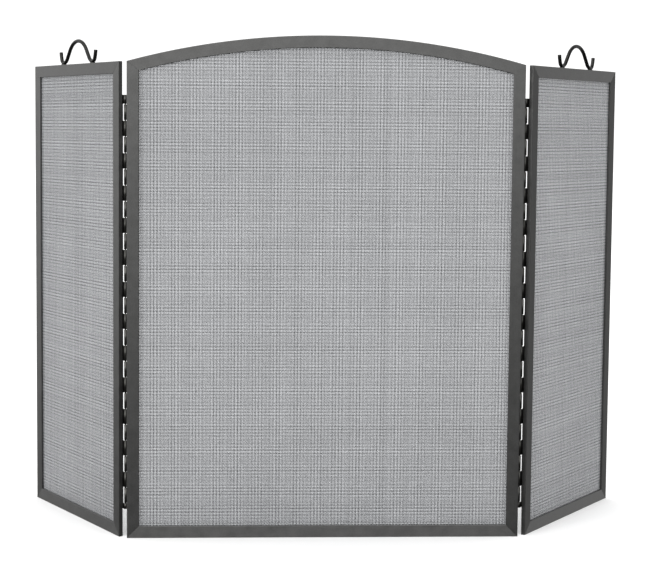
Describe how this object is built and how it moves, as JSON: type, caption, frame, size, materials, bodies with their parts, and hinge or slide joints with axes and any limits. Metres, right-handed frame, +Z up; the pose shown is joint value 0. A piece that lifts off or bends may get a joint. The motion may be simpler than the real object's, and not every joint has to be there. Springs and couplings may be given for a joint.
{
  "type": "fireplace screen",
  "caption": "Folding fireplace screen: arched centre panel and two rectangular wings of framed woven mesh on continuous hinges, each wing with a bent-rod lift handle.",
  "frame": {"origin": "middle of the underside of the centre panel's bottom rail, halfway through the frame's depth", "axes": "+X along the centre panel to the viewer's right, -Y out of the front face towards the room, +Z up"},
  "size_m": [1.0018, 0.2695, 0.7924],
  "materials": {
    "frame_paint": "satin, faintly mottled dark iron grey",
    "retainer_paint": "satin dark iron grey",
    "mesh_wire": "matt light iron-grey woven steel wire, uneven from wire to wire",
    "hinge_paint": "satin dark grey",
    "hinge_pin": "dark oiled steel",
    "handle_paint": "satin near-black"
  },
  "bodies": {
    "centre_panel": {"centre_left_stile": "frame_paint", "centre_right_stile": "frame_paint", "centre_bottom_rail": "frame_paint", "centre_arched_rail": "frame_paint", "centre_mesh": "mesh_wire", "centre_left_retainer": "retainer_paint", "centre_right_retainer": "retainer_paint", "centre_bottom_retainer": "retainer_paint", "centre_arched_retainer": "retainer_paint", "left_hinge_centre_leaf": "hinge_paint", "left_hinge_pin": "hinge_pin", "right_hinge_centre_leaf": "hinge_paint", "right_hinge_pin": "hinge_pin"},
    "left_wing": {"left_wing_inner_stile": "frame_paint", "left_wing_outer_stile": "frame_paint", "left_wing_top_rail": "frame_paint", "left_wing_bottom_rail": "frame_paint", "left_wing_mesh": "mesh_wire", "left_wing_inner_retainer": "retainer_paint", "left_wing_outer_retainer": "retainer_paint", "left_wing_top_retainer": "retainer_paint", "left_wing_bottom_retainer": "retainer_paint", "left_wing_handle": "handle_paint", "left_hinge_wing_leaf": "hinge_paint"},
    "right_wing": {"right_wing_inner_stile": "frame_paint", "right_wing_outer_stile": "frame_paint", "right_wing_top_rail": "frame_paint", "right_wing_bottom_rail": "frame_paint", "right_wing_mesh": "mesh_wire", "right_wing_inner_retainer": "retainer_paint", "right_wing_outer_retainer": "retainer_paint", "right_wing_top_retainer": "retainer_paint", "right_wing_bottom_retainer": "retainer_paint", "right_wing_handle": "handle_paint", "right_hinge_wing_leaf": "hinge_paint"}
  },
  "joints": [
    {"name": "left_fold", "type": "hinge", "parent": "centre_panel", "child": "left_wing", "pos_m": [-0.3136, 0.00575, 0.3715], "axis": [0, 0, -1], "range_deg": [-95.5, 122.5]},
    {"name": "right_fold", "type": "hinge", "parent": "centre_panel", "child": "right_wing", "pos_m": [0.3136, 0.00575, 0.3715], "axis": [0, 0, 1], "range_deg": [-89.5, 128.5]}
  ]
}
